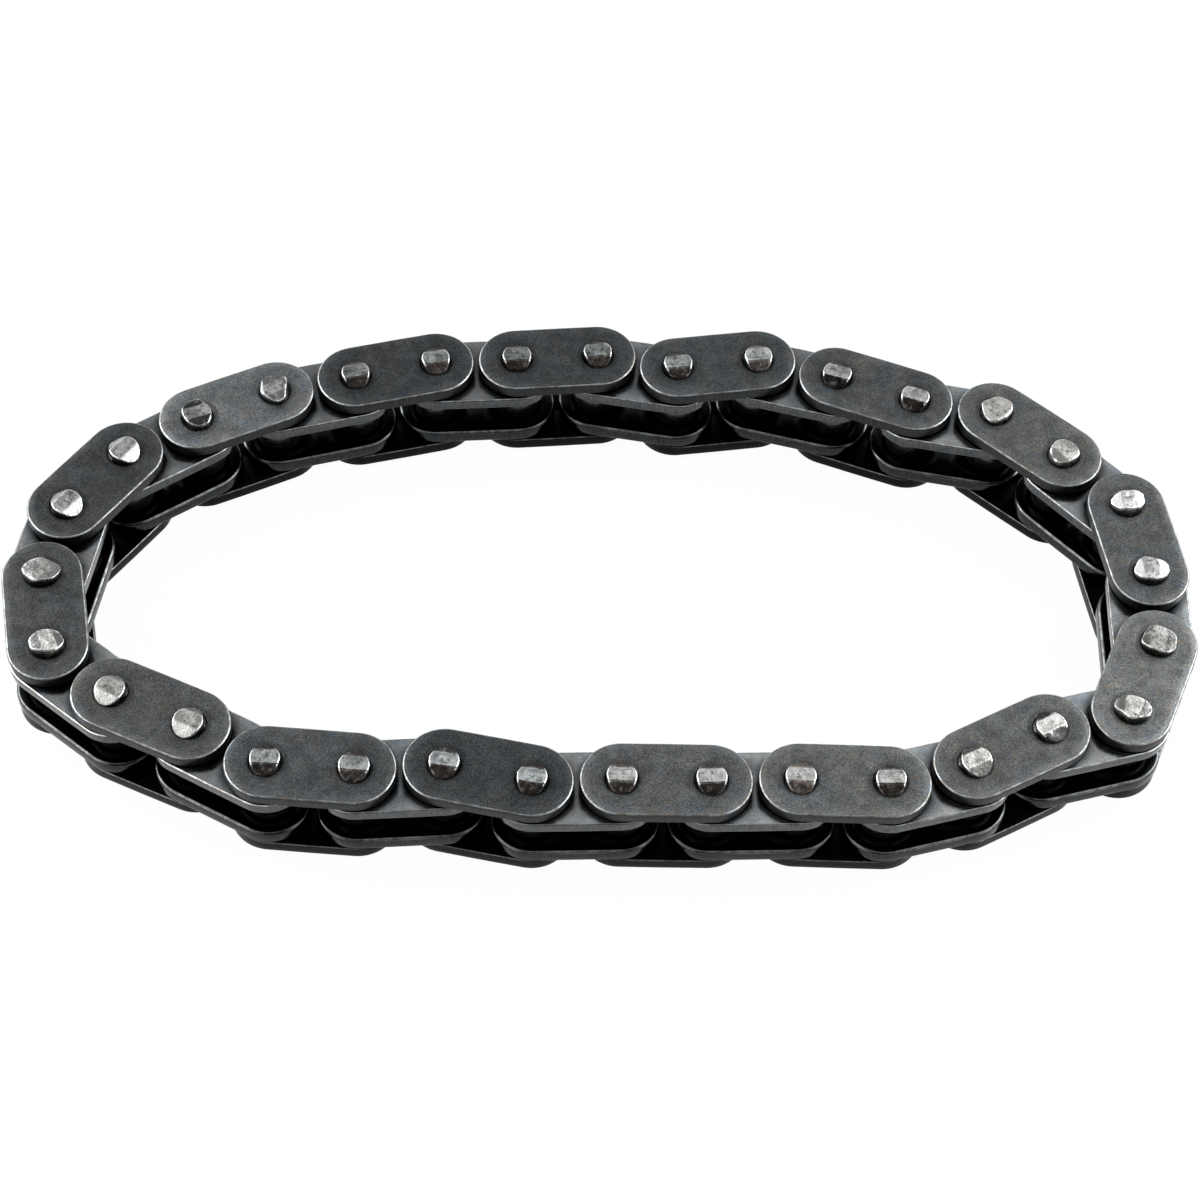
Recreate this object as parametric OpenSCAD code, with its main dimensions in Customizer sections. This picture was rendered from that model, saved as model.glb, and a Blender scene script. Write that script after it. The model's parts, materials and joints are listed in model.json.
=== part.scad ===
// Endless bush chain for a camshaft drive, lying on its side in a loose oval.
// Each outer link is two plates on two staked pins. Each inner link is two plates
// pressed on two bushes, which turn on the pins. All pin axes stand along Z.

/* [Pitch and width] */
// Distance from one pin to the next
pitch = 9.525; // [9:0.025:12]
// Clear width between the plates of an inner link, where a sprocket tooth runs
inner_w = 4.4; // [4:0.1:7]
// Side play between an inner plate and the outer plate beside it
side_play = 0.22; // [0.1:0.01:0.5]

/* [Plates] */
// Thickness of an outer plate
outer_t = 1.65; // [1:0.05:2.5]
// Thickness of an inner plate
inner_t = 1.75; // [1:0.05:2.5]
// Gap between the round ends of neighbouring outer plates
outer_gap = 0.575; // [0.3:0.025:1.5]
// Gap between the round ends of neighbouring inner plates
inner_gap = 0.425; // [0.3:0.025:1.5]
// Edge that the blanking die rolls over round the outward face of a plate
rolled_edge = 0.18; // [0.05:0.01:0.4]

/* [Bushes] */
// Outside diameter of a bush
bush_d = 5.08; // [4.6:0.02:5.4]
// Running clearance between pin and bush, on the radius
bush_play = 0.04; // [0.02:0.01:0.08]
// Bevel at the mouth of a bush
bush_bevel = 0.15; // [0.05:0.01:0.3]

/* [Pins] */
// Diameter of a pin
pin_d = 3.55; // [3:0.05:3.8]
// Height of a staked pin end above its plate
head_h = 1; // [0.5:0.05:1.5]
// Width of a staked pin end, across the link
head_w = 4.06; // [3.9:0.02:4.4]
// Width of the flat that the staking punch leaves on top
flat_w = 2; // [1.2:0.05:2.6]
// Thickness of the lip that grips the plate
lip_t = 0.15; // [0.05:0.01:0.3]
// Bevel round a pin hole, which the lip closes over
hole_bevel = 0.1; // [0.05:0.01:0.12]

/* [Hidden] */
$fn = 64;
// Gap drawn between parts that are pressed together
press_gap = 0.01;
// How far a drill runs past both faces of a plate
cut_past = 1;

// The lay of the chain, as directions in whole degrees, clockwise from the near left end.
// The outer links from the third to the last
outer_angles = [27, 16, 7, 10, -18, -38, -78, -111, -150, -179, -178, -189, -182, -202];
// The inner links swing in three sets. Whole sets can turn and the loop stays closed,
// because the directions in a set cancel out. Each set starts with the two that close it.
swing_a_links = [1, 2, 6, 9, 11, 13];
swing_a_angles = [-12, -89, -163, -176];
swing_b_links = [5, 8, 7, 12, 15, 16];
swing_b_angles = [-8, -176, -206, -216];
swing_c_links = [10, 14, 3, 4];
swing_c_angles = [17, 6];

function heading(a) = [cos(a), sin(a)];
function total(list, i = 0) = i < len(list) ? list[i] + total(list, i + 1) : [0, 0];
// The two directions that bring a run of links back to its start
function closing(angles) =
    let (rest = -total([for (a = angles) heading(a)]),
         middle = atan2(rest.y, rest.x),
         spread = acos(norm(rest) / 2))
    [middle + spread, middle - spread];
outer_dirs = concat(closing(outer_angles), outer_angles);
links = len(outer_dirs);

function in_set(n, set, dirs) = [for (i = [0:len(set) - 1]) if (set[i] == n) dirs[i]];
function inner_dir(n) = concat(
    in_set(n, swing_a_links, concat(closing(swing_a_angles), swing_a_angles)),
    in_set(n, swing_b_links, concat(closing(swing_b_angles), swing_b_angles)),
    in_set(n, swing_c_links, concat([for (a = swing_c_angles) a - 180], swing_c_angles)))[0];

// Directions of all links in turn, an outer link and then the inner link after it
dirs = [for (n = [1:links]) each [outer_dirs[n - 1], inner_dir(n)]];
// Joints from one to the next round the loop
function walk(i = 0, at = [0, 0]) =
    i < len(dirs) ? concat([at], walk(i + 1, at + pitch * heading(dirs[i]))) : [];
loop = walk();
loop_x = [for (p = loop) p.x];
loop_y = [for (p = loop) p.y];
loop_centre = [min(loop_x) + max(loop_x), min(loop_y) + max(loop_y)] / 2;
joints = [for (p = loop) p - loop_centre];

outer_r = (pitch - outer_gap) / 2;
inner_r = (pitch - inner_gap) / 2;
pin_r = pin_d / 2;
bush_r = bush_d / 2;
bore_r = pin_r + bush_play;

// Heights, up from the ends of the pins that the chain rests on
low_outer_z = head_h;
low_inner_z = low_outer_z + outer_t + side_play;
high_inner_z = low_inner_z + inner_t + inner_w;
high_outer_z = high_inner_z + inner_t + side_play;
bush_l = high_inner_z + inner_t - low_inner_z;
pin_l = high_outer_z + outer_t + head_h;

function node_name(kind, n) = str(kind, n < 10 ? "_0" : "_", n);

// Places children on a link, whose first joint is the origin and whose second lies along X
module on_link(i) {
    translate([joints[i].x, joints[i].y, 0]) rotate([0, 0, dirs[i]]) children();
}

module at_both_joints() {
    for (x = [0, pitch]) translate([x, 0, 0]) children();
}

// Outline of a link plate: two round ends with straight flanks
module plate_outline(r) {
    at_both_joints() circle(r);
    translate([0, -r]) square([pitch, 2 * r]);
}

// A blanked plate with its rolled edge upwards
module plate(r, t, hole_r) {
    difference() {
        union() {
            linear_extrude(t - rolled_edge) plate_outline(r);
            translate([0, 0, t - rolled_edge]) at_both_joints()
                cylinder(h = rolled_edge, r1 = r, r2 = r - rolled_edge);
            translate([0, 0, t - rolled_edge]) rotate([90, 0, 90]) linear_extrude(pitch)
                polygon([[-r, 0], [r, 0], [r - rolled_edge, rolled_edge], [rolled_edge - r, rolled_edge]]);
        }
        at_both_joints() {
            translate([0, 0, -cut_past]) cylinder(h = t + 2 * cut_past, r = hole_r);
            translate([0, 0, t - hole_bevel])
                cylinder(h = 2 * hole_bevel, r1 = hole_r, r2 = hole_r + 2 * hole_bevel);
        }
    }
}

// The same plate with its rolled edge downwards
module turned_plate(r, t, hole_r) {
    translate([0, 0, t]) mirror([0, 0, 1]) plate(r, t, hole_r);
}

module outer_plates(n) {
    color("dimgray") on_link(2 * n - 2) {
        translate([0, 0, low_outer_z]) turned_plate(outer_r, outer_t, pin_r + press_gap);
        translate([0, 0, high_outer_z]) plate(outer_r, outer_t, pin_r + press_gap);
    }
}

// A pin whose ends are staked into a flat ridge along the link, with a lip to each side
module pin() {
    lip_out = head_w / 2 - pin_r;
    intersection() {
        union() {
            cylinder(h = pin_l, r = pin_r);
            for (z = [0, pin_l - head_h], side = [-1, 1])
                translate([0, side * lip_out, z]) cylinder(h = head_h, r = pin_r);
        }
        rotate([90, 0, 90]) linear_extrude(4 * pin_r, center = true) polygon([
            [-flat_w / 2, 0], [flat_w / 2, 0],
            [head_w / 2, head_h - lip_t], [head_w / 2, pin_l - head_h + lip_t],
            [flat_w / 2, pin_l], [-flat_w / 2, pin_l],
            [-head_w / 2, pin_l - head_h + lip_t], [-head_w / 2, head_h - lip_t]
        ]);
    }
}

module pins(n) {
    color("silver") on_link(2 * n - 2) at_both_joints() pin();
}

module bush() {
    rotate_extrude() polygon([
        [bore_r, bush_bevel], [bore_r + bush_bevel, 0],
        [bush_r, 0], [bush_r, bush_l],
        [bore_r + bush_bevel, bush_l], [bore_r, bush_l - bush_bevel]
    ]);
}

module inner_link(n) {
    color("slategray") on_link(2 * n - 1) {
        translate([0, 0, low_inner_z]) {
            turned_plate(inner_r, inner_t, bush_r + press_gap);
            at_both_joints() bush();
        }
        translate([0, 0, high_inner_z]) plate(inner_r, inner_t, bush_r + press_gap);
    }
}

for (n = [1:links]) {
    outer_plates(n);
    pins(n);
    inner_link(n);
}
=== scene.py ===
import json
from math import atan2, cos, hypot, pi, radians, sin, sqrt
from typing import NamedTuple

import bmesh
import bpy
from mathutils import Matrix, Vector

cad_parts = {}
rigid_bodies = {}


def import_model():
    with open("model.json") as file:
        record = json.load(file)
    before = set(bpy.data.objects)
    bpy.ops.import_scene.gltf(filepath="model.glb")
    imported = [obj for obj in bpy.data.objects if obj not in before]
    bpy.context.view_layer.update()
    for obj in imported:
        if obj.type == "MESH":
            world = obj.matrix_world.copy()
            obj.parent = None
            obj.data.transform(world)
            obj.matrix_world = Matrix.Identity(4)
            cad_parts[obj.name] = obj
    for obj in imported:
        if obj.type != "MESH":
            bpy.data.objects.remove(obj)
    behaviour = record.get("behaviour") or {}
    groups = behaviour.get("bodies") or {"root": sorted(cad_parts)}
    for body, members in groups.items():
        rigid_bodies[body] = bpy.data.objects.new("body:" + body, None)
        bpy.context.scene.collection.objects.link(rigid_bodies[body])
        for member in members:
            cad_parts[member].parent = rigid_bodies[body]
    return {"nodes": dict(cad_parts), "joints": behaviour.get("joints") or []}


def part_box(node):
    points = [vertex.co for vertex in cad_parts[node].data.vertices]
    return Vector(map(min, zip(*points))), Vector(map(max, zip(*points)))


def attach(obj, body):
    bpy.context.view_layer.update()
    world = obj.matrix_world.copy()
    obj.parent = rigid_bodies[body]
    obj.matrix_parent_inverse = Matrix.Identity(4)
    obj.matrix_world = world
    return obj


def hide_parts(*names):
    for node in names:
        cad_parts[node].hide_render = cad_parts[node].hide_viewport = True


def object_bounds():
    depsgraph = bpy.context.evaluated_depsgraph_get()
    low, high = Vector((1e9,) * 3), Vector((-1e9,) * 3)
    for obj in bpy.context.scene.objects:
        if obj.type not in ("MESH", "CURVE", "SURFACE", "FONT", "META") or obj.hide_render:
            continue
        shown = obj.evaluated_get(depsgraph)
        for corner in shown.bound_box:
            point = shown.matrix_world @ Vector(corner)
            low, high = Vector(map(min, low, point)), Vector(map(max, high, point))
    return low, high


bl_info = {
    "name": "Cam Chain Finish",
    "version": (1, 0, 0),
    "blender": (4, 5, 0),
    "location": "View3D > Sidebar > Cam Chain",
    "description": "Blanked plates, staked pins and bushes of a camshaft chain, their steels and a stage",
    "category": "Object",
}

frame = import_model()
cad_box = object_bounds()

MM = 0.001
LINKS = sum(name.startswith("outer_plates_") for name in frame["nodes"])

# How pale each outer plate is, beside the middle of the range: partly how its blacking came out, partly
# painted light for how the plate lies to the light
PLATE_TONES = (-0.21, -0.375, 0.55, -0.40, -0.37, -0.24, -0.06, 0.24,
               0.18, 0.82, 0.34, 0.41, 0.19, -0.37, -0.11, -0.06)
# How far each outer plate has browned, from blue to brown
PLATE_WARMTH = (0.85, 0.60, 0.45, 0.20, 0.05, 0.25, 0.60, 0.90,
                0.65, 1.00, 0.90, 0.75, 0.65, 0.10, 0.35, 0.90)
# How pale each inner link is, beside the middle of the range
INNER_TONES = (-0.11, -0.26, -0.27, -0.25, -0.16, -0.22, 0.25, 0.24,
               0.42, 0.70, 0.65, 0.45, 0.17, -0.05, -0.06, 0.05)
# How much brighter the outward rims of each inner link are: rubbed wear, and a painted sheen
INNER_RIMS = (0.0, 0.8, 1.0, 0.6, 0.5, 0.7, 1.3, 0.7, 0.0, 0.85, 0.5, 0.4, 0.0, 0.3, 1.9, 1.9)
# How bright the flats of the two pins of each outer link are
PIN_TONES = ((1.01, 0.55), (0.54, 0.53), (0.47, 0.50), (0.35, 0.44), (0.30, 0.31), (0.50, 0.70),
             (0.58, 0.69), (0.69, 0.98), (1.20, 0.89), (0.76, 1.04), (1.60, 1.13), (0.82, 0.88),
             (0.78, 0.82), (0.70, 0.73), (0.55, 0.55), (0.63, 0.57))
# How bright their bevels are, beside the dark brown or the bright steel
BEVEL_TONES = ((0.29, 0.42), (0.80, 0.80), (0.06, 0.25), (0.87, 1.17), (0.74, 1.07), (0.72, 1.89),
               (0.17, 0.25), (0.95, 0.47), (2.3, 1.75), (0.26, 0.35), (0.12, 0.28), (1.08, 3.1),
               (1.29, 1.49), (0.86, 0.76), (1.43, 0.88), (0.92, 1.0))

# Outer links whose pins were staked rough
ROUGH_PINS = {1, 3, 8, 9, 10}
# Outer links whose pins were staked clean, with bright bevels
CLEAN_PINS = {2, 11, 16}

# Colours on the pin ends: dark brown bevels, worn edges, and painted shade under a lip
DARK_BEVEL = (0.100, 0.086, 0.077)
WORN_EDGE = (0.84, 0.84, 0.82)
PAINTED_LIP_SHADE = (0.040, 0.035, 0.031)

# Gap left round a pin or a bush that is pressed into a plate
PRESS_GAP = 0.01 * MM
# Bevels of the holes in a plate, and of the mouths of a bush
HOLE_BEVEL = 0.1 * MM
MOUTH_BEVEL = 0.15 * MM
# Height at which the foot of a staked end goes over into its neck, beside the height of its rim
NECK_RISE = 0.7
# How far below the plate's face the foot goes over into the shank
FOOT_STEP = 0.02 * MM
# Size of the waves in an outline that a rough punch left
SWAY_SIZE = 2.2 * MM


# Reading the frame

class Link:
    """Where a link of the chain lies: its middle, heading from first to second joint, and half pitch."""

    def __init__(self, body, plates_node):
        self.body = body
        self.node = plates_node
        low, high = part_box(plates_node)
        self.middle = (low + high) / 2
        joint = next(j for j in frame["joints"] if body in (j["parent"], j["child"]))
        other = joint["parent"] if joint["child"] == body else joint["child"]
        arm = Vector(joint["pos_m"]) - self.middle
        # the second joint of a link is the one that it shares with the link of its own number
        if other[-2:] != body[-2:]:
            arm.negate()
        self.half_pitch = hypot(arm.x, arm.y)
        self.heading = atan2(arm.y, arm.x)
        self.end_radius = (high.x - low.x) / 2 - self.half_pitch * abs(cos(self.heading))
        self.half_height = (high.z - low.z) / 2


def outer_link(number):
    return Link(f"outer_link_{number:02d}", f"outer_plates_{number:02d}")


def inner_link(number):
    return Link(f"inner_link_{number:02d}", f"inner_link_{number:02d}")


# Sizes and colours that a user would change

def length(name, description, default):
    return bpy.props.FloatProperty(
        name=name, description=description, default=default, unit="LENGTH", precision=5)


def paint(name, description, default):
    return bpy.props.FloatVectorProperty(
        name=name, description=description, default=default, subtype="COLOR", size=3, min=0, max=1)


class PlateSizes(bpy.types.PropertyGroup):
    outer_thickness: length("Outer plate", "Thickness of an outer plate", 1.65 * MM)
    inner_thickness: length("Inner plate", "Thickness of an inner plate", 1.75 * MM)
    rolled_edge: length("Rolled edge", "Radius that blanking leaves round the outward face", 0.27 * MM)
    waist: length("Drawn in", "How far the outline is drawn in where flanks meet round ends", 0.02 * MM)
    burr_edge: length("Burr edge", "Small round on the inward edge", 0.18 * MM)
    tumbled_edge: length("Tumbled edge", "Round of the outward edge of an inner plate", 0.24 * MM)
    worn_inside: length("Worn inside", "Round of its inward edge, where teeth run in", 0.42 * MM)
    break_depth: length("Break line", "How far the broken half of the cut wall lies back", 0.03 * MM)
    shoulder_width: length("Shoulder", "Width over which the face falls away to its rim", 0.80 * MM)
    shoulder_drop: length("Shoulder drop", "How far it falls there", 0.070 * MM)
    ring_radius: length("Staking ring", "Radius of the ring that staking presses round a pin", 2.45 * MM)
    ring_width: length("Ring width", "About half the width of that ring", 0.16 * MM)
    ring_depth: length("Ring depth", "Depth of that ring", 0.022 * MM)


class PinSizes(bpy.types.PropertyGroup):
    shank_radius: length("Shank", "Radius of a pin", 1.775 * MM)
    lip: length("Lip", "How far staking spreads a pin end to each side", 0.255 * MM)
    crown: length("Crown", "How far a pin end is drawn in above its foot, along the link", 0.115 * MM)
    flat_half: length("Flat", "Half the width of the flat along the top", 0.86 * MM)
    lip_thickness: length("Lip thickness", "Thickness of the lip over the plate", 0.18 * MM)
    rough_lip: length("Rough lip", "Thickness of the lip of a roughly staked end", 0.76 * MM)
    worn_edge: length("Worn edge", "Radius of the worn rim of a pin end", 0.15 * MM)
    soft_corner: length("Soft corner", "How much rounder the flat's edges get by its corners", 0.30 * MM)
    dents: length("Dents", "Depth of the hammered dents on a pin end", 0.07 * MM)
    dent_size: length("Dent size", "About how far apart those dents are", 1.0 * MM)
    sway: length("Sway", "How uneven a rough punch leaves the outline of a pin end", 0.95 * MM)
    bush_radius: length("Bush", "Outside radius of a bush", 2.54 * MM)
    bush_play: length("Play", "Running clearance between pin and bush", 0.04 * MM)


class SteelColours(bpy.types.PropertyGroup):
    blacked: paint("Blacked steel", "Outer plates", (0.0715, 0.0857, 0.096))
    tumbled: paint("Tumbled steel", "Inner plates", (0.182, 0.207, 0.226))
    bright: paint("Bright steel", "Staked pin ends and rubbed edges", (0.565, 0.58, 0.583))
    bush: paint("Oiled steel", "Bushes", (0.20, 0.197, 0.192))


class StageSettings(bpy.types.PropertyGroup):
    floor_colour: paint("Floor", "Colour of the floor", (0.97, 0.97, 0.97))
    world_level: bpy.props.FloatProperty(
        name="Tent", description="Level of the pale tent round the chain", default=0.78)
    front_level: bpy.props.FloatProperty(
        name="Front", description="Level of the dark opening in front", default=0.03)
    paper_white: bpy.props.FloatProperty(
        name="Paper white", description="How far the paper looks plain white instead of as it is lit",
        default=0.97, min=0, max=1)
    lamp_level: bpy.props.FloatProperty(
        name="Lamps", description="Power of each side lamp", default=5.0, unit="POWER")
    elevation: bpy.props.FloatProperty(
        name="Elevation", description="Height of the camera above level",
        default=radians(55.83), subtype="ANGLE")
    roll: bpy.props.FloatProperty(
        name="Roll", description="Turn of the camera about its own axis",
        default=radians(2.611), subtype="ANGLE")
    distance: length("Distance", "From the camera to the point it looks at", 311.0 * MM)
    lens: bpy.props.FloatProperty(
        name="Lens", description="Focal length in millimetres", default=84.36)


# Writing node trees

class Sheet:
    """A node tree being written."""

    def __init__(self, tree):
        self.tree = tree

    def feed(self, socket, value):
        """Links a socket to another, or sets its value."""
        if isinstance(value, bpy.types.NodeSocket):
            self.tree.links.new(value, socket)
        else:
            socket.default_value = value

    def node(self, kind, inputs=None, **settings):
        """A new node, with its settings made and its inputs fed."""
        made = self.tree.nodes.new(kind)
        for key, value in settings.items():
            setattr(made, key, value)
        for key, value in (inputs or {}).items():
            self.feed(made.inputs[key], value)
        return made

    def math(self, operation, *values):
        return self.node("ShaderNodeMath", dict(enumerate(values)), operation=operation).outputs[0]

    def times(self, first, *others):
        """Product of numbers, from left to right."""
        for value in others:
            first = self.math("MULTIPLY", first, value)
        return first

    def plus(self, first, second):
        return self.math("ADD", first, second)

    def minus(self, first, second):
        return self.math("SUBTRACT", first, second)

    def rest(self, share):
        """What a share leaves of one."""
        return self.minus(1.0, share)

    def length(self, x, y):
        """Length of a vector with these two parts."""
        return self.math("SQRT", self.plus(self.times(x, x), self.times(y, y)))

    def ramp(self, value, low, high, to_low=0.0, to_high=1.0):
        """Value between low and high, taken smoothly to another range."""
        return self.node("ShaderNodeMapRange", {
            "Value": value, "From Min": low, "From Max": high, "To Min": to_low, "To Max": to_high,
        }, interpolation_type="SMOOTHSTEP").outputs[0]

    def vary(self, mask, at_none, at_full):
        """A number that goes smoothly with a mask from 0 to 1."""
        return self.ramp(mask, 0.0, 1.0, at_none, at_full)

    def noise(self, vector, size, detail=2.0, roughness=0.5):
        """Noise from 0 to 1 whose patches are about size metres across."""
        scale = self.math("DIVIDE", 1.0, size) if isinstance(size, bpy.types.NodeSocket) else 1 / size
        return self.node("ShaderNodeTexNoise", {
            "Vector": vector, "Scale": scale, "Detail": detail, "Roughness": roughness,
        }).outputs["Fac"]

    def stretched(self, vector, scale):
        """Coordinates scaled along each axis, which draws a pattern out where the scale is small."""
        return self.node("ShaderNodeMapping", {"Vector": vector, "Scale": scale}).outputs[0]

    def blend(self, share, first, second, blend_type="MIX"):
        """Mix of two colours."""
        made = self.node("ShaderNodeMix", data_type="RGBA", blend_type=blend_type)
        self.feed(made.inputs[0], share)
        self.feed(made.inputs[6], first)
        self.feed(made.inputs[7], second)
        return made.outputs[2]

    def scaled(self, vector, share):
        """A colour or a vector times a number."""
        return self.node("ShaderNodeVectorMath", {0: vector, "Scale": share}, operation="SCALE").outputs[0]

    def vector_math(self, operation, first, second):
        return self.node("ShaderNodeVectorMath", {0: first, 1: second}, operation=operation).outputs[0]

    def combine(self, **parts):
        """A vector made of its parts."""
        return self.node("ShaderNodeCombineXYZ", parts).outputs[0]

    def separate(self, vector):
        """The three parts of a vector."""
        return self.node("ShaderNodeSeparateXYZ", {0: vector}).outputs

    def attribute(self, name):
        """A number that a material reads from the mesh."""
        return self.node("ShaderNodeAttribute", attribute_name=name).outputs["Fac"]

    def stored(self, name):
        """A number that geometry nodes read from each point."""
        return self.node("GeometryNodeInputNamedAttribute", {"Name": name}, data_type="FLOAT").outputs[0]

    def store(self, geometry, name, value):
        """Geometry with a number written to each point."""
        return self.node("GeometryNodeStoreNamedAttribute", {
            "Geometry": geometry, "Name": name, "Value": value,
        }, data_type="FLOAT", domain="POINT").outputs[0]


def open_group(name, kind, inputs, outputs):
    """A new node group with its sockets, as (tree, sheet, sockets given, sockets to fill)."""
    tree = bpy.data.node_groups.new(name, kind)
    for label, socket, value in inputs:
        made = tree.interface.new_socket(name=label, in_out="INPUT", socket_type=socket)
        if value is not None:
            made.default_value = value
    for label, socket in outputs:
        tree.interface.new_socket(name=label, in_out="OUTPUT", socket_type=socket)
    sheet = Sheet(tree)
    given, filled = sheet.node("NodeGroupInput"), sheet.node("NodeGroupOutput")
    return tree, sheet, given.outputs, filled.inputs


def colour(values):
    return (*values, 1.0)


def tinted(values, shares):
    """A colour times another, part by part."""
    return tuple(value * share for value, share in zip(values, shares))


# Shader groups that the steels share

def grain_group():
    """Fine tumbled grain, slow clouding and small pits."""
    tree, sheet, take, give = open_group("Steel grain", "ShaderNodeTree", [
        ("Vector", "NodeSocketVector", None),
        ("Grain", "NodeSocketFloat", 0.12 * MM),
        ("Cloud", "NodeSocketFloat", 2.4 * MM),
    ], [("Grain", "NodeSocketFloat"), ("Cloud", "NodeSocketFloat"), ("Pits", "NodeSocketFloat")])
    fine = sheet.noise(take["Vector"], take["Grain"], 3.0, 0.62)
    slow = sheet.noise(take["Vector"], take["Cloud"], 3.0, 0.55)
    # the pits stand about six grains apart
    pits = sheet.node("ShaderNodeTexVoronoi", {
        "Vector": take["Vector"], "Scale": sheet.math("DIVIDE", 0.16, take["Grain"])})
    sheet.feed(give["Grain"], sheet.ramp(fine, 0.30, 0.70))
    sheet.feed(give["Cloud"], sheet.ramp(slow, 0.34, 0.66))
    sheet.feed(give["Pits"], sheet.ramp(pits.outputs["Distance"], 0.16, 0.05))
    return tree


def wear_group():
    """Rubbed edges: a mask that is widest where an edge was knocked."""
    tree, sheet, take, give = open_group("Rubbed edge", "ShaderNodeTree", [
        ("Vector", "NodeSocketVector", None),
        ("Edge", "NodeSocketFloat", 0.0),
        ("Reach", "NodeSocketFloat", 0.5),
    ], [("Mask", "NodeSocketFloat")])
    knocks = sheet.noise(take["Vector"], 0.9 * MM, 3.0, 0.6)
    scuffs = sheet.noise(take["Vector"], 0.16 * MM, 2.0, 0.6)
    uneven = sheet.plus(sheet.times(knocks, 0.85), sheet.times(scuffs, 0.15))
    threshold = sheet.minus(1.1, sheet.times(take["Reach"], sheet.plus(uneven, 0.5)))
    sheet.feed(give["Mask"], sheet.ramp(take["Edge"], sheet.minus(threshold, 0.30), threshold))
    return tree


def cut_wall_group():
    """Upright streaks and the break line that a blanking die leaves on a cut wall."""
    tree, sheet, take, give = open_group("Cut wall", "ShaderNodeTree", [
        ("Vector", "NodeSocketVector", None),
        ("Rise", "NodeSocketFloat", 0.0),
    ], [("Streaks", "NodeSocketFloat"), ("Broken", "NodeSocketFloat")])
    streaks = sheet.noise(sheet.stretched(take["Vector"], (1, 1, 0.12)), 0.14 * MM, 3.0, 0.6)
    ragged = sheet.noise(take["Vector"], 0.5 * MM)
    line = sheet.plus(0.36, sheet.times(ragged, 0.16))
    sheet.feed(give["Streaks"], sheet.ramp(streaks, 0.3, 0.7))
    sheet.feed(give["Broken"], sheet.ramp(sheet.minus(line, take["Rise"]), -0.03, 0.03))
    return tree


def shared_group(name, build):
    return bpy.data.node_groups.get(name) or build()


class Steel:
    """A steel material being written: its sheet, coordinates and shader."""

    def __init__(self, name):
        self.material = bpy.data.materials.new(name)
        self.material.use_nodes = True
        self.sheet = Sheet(self.material.node_tree)
        self.shader = self.material.node_tree.nodes["Principled BSDF"]
        self.where = self.sheet.node("ShaderNodeTexCoord").outputs["Object"]

    def group(self, tree, **inputs):
        made = self.sheet.node("ShaderNodeGroup", node_tree=tree)
        self.sheet.feed(made.inputs["Vector"], self.where)
        for key, value in inputs.items():
            self.sheet.feed(made.inputs[key], value)
        return made.outputs

    def grain(self, grain, cloud):
        return self.group(shared_group("Steel grain", grain_group), Grain=grain, Cloud=cloud)

    def wear(self, reach):
        edge = self.sheet.attribute("edge")
        return self.group(shared_group("Rubbed edge", wear_group), Edge=edge, Reach=reach)["Mask"]

    def cut_wall(self):
        return self.group(shared_group("Cut wall", cut_wall_group), Rise=self.sheet.attribute("rise"))

    def noise(self, size, detail=2.0, roughness=0.5):
        return self.sheet.noise(self.where, size, detail, roughness)

    def height(self):
        """Height above the floor in metres."""
        return self.sheet.separate(self.where)["Z"]

    def finish(self, base, roughness, height, relief):
        bump = self.sheet.node("ShaderNodeBump", {"Height": height, "Strength": 1.0, "Distance": relief})
        self.sheet.feed(self.shader.inputs["Base Color"], base)
        self.sheet.feed(self.shader.inputs["Roughness"], roughness)
        self.sheet.feed(self.shader.inputs["Metallic"], 1.0)
        self.sheet.feed(self.shader.inputs["Normal"], bump.outputs[0])
        return self.material


# Steel of the plates

class PlateLook(NamedTuple):
    """How the steel of one kind of plate looks."""

    name: str
    # Colours of the steel and of its browned specks, and how much the grain changes its shade
    body: tuple
    brown: tuple
    speckle: float
    # How wide the rim is rubbed, how much of that its flanks get, how bright it is and how rough
    reach: float
    flank: float
    rim_level: float
    rim_rough: float
    # How much paler the face is along its flanks, a painted sheen by the rim, and how much darker away from
    # its rim, a painted shade
    pale: float
    deep: float
    # How rough the face is, how bright the cut wall, and how deep the relief
    rough: float
    wall_level: float
    relief: float
    # Distances from a joint between which held oil and painted shade thin out, and how dark they are
    oil_shade_near: float
    oil_shade_far: float
    oil_shade_dark: float
    # Radius of the round ends, and of the ring that the staking tool rubbed, where there is one
    end_radius: float
    ring_radius: float = None


class PlatePlaces:
    """Where a point lies on its plate: past the nearer joint, from that joint and from the rim."""

    # How far past a joint the flanks go over into the round end
    END_FROM = -1.5 * MM
    END_TO = 2.6 * MM

    def __init__(self, sheet, end_radius):
        self.sheet = sheet
        local = sheet.node("ShaderNodeAttribute", attribute_name="local").outputs["Vector"]
        along, across, _ = sheet.separate(local)
        self.past = sheet.minus(sheet.math("ABSOLUTE", along), sheet.attribute("half_pitch"))
        self.from_joint = sheet.length(self.past, across)
        beyond = sheet.math("MAXIMUM", self.past, 0.0)
        self.from_rim = sheet.minus(end_radius, sheet.length(beyond, across))

    def to_end(self, at_flank, at_end):
        """A number that goes from one value at the flanks to another at the round ends."""
        return self.sheet.ramp(self.past, self.END_FROM, self.END_TO, at_flank, at_end)


def rubbed_rim(steel, look, places, outward):
    """Where the rim is rubbed: outside most at the ends, inside where teeth run in."""
    sheet = steel.sheet
    at_teeth = places.to_end(1.0, 0.27)
    more = sheet.minus(places.to_end(look.flank, 1.0), at_teeth)
    return sheet.times(steel.wear(look.reach), sheet.plus(at_teeth, sheet.times(outward, more)))


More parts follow.
